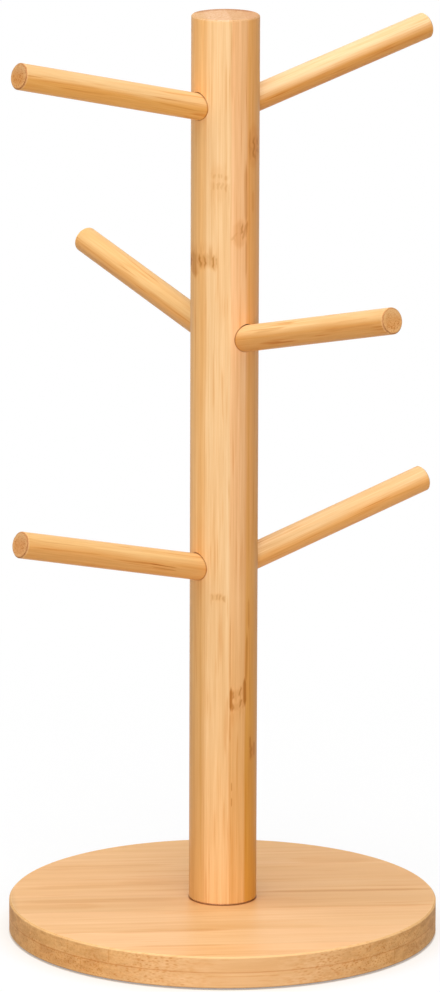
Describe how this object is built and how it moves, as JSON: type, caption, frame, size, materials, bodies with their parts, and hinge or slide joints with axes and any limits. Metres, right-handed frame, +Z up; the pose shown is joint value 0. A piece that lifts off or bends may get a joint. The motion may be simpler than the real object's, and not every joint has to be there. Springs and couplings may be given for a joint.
{
  "type": "jewelry tree stand",
  "caption": "Free-standing tree for hanging jewellery: a round two-ply base board, an upright round post and plain round branches sloping up from blind sockets.",
  "frame": {"origin": "on the post's axis, on the surface that the stand rests on", "axes": "+Z up along the post, -Y towards the front from which the picture was taken, -X to the left"},
  "size_m": [0.19, 0.19, 0.413],
  "materials": {
    "base_bamboo": "satin clear lacquer",
    "post_bamboo": "satin clear lacquer",
    "branch_bamboo": "satin clear lacquer",
    "zinc_steel": "zinc plated",
    "insert_brass": "as turned",
    "pad_rubber": "matte"
  },
  "bodies": {
    "root": {"base_bottom_ply": "base_bamboo", "base_top_ply": "base_bamboo", "post": "post_bamboo", "base_bolt": "zinc_steel", "bolt_washer": "zinc_steel", "post_insert": "insert_brass", "branch_top_left": "branch_bamboo", "branch_top_right": "branch_bamboo", "branch_middle_left": "branch_bamboo", "branch_middle_right": "branch_bamboo", "branch_bottom_left": "branch_bamboo", "branch_bottom_right": "branch_bamboo", "foot_pad_front_left": "pad_rubber", "foot_pad_front_right": "pad_rubber", "foot_pad_rear_left": "pad_rubber", "foot_pad_rear_right": "pad_rubber"}
  },
  "joints": []
}
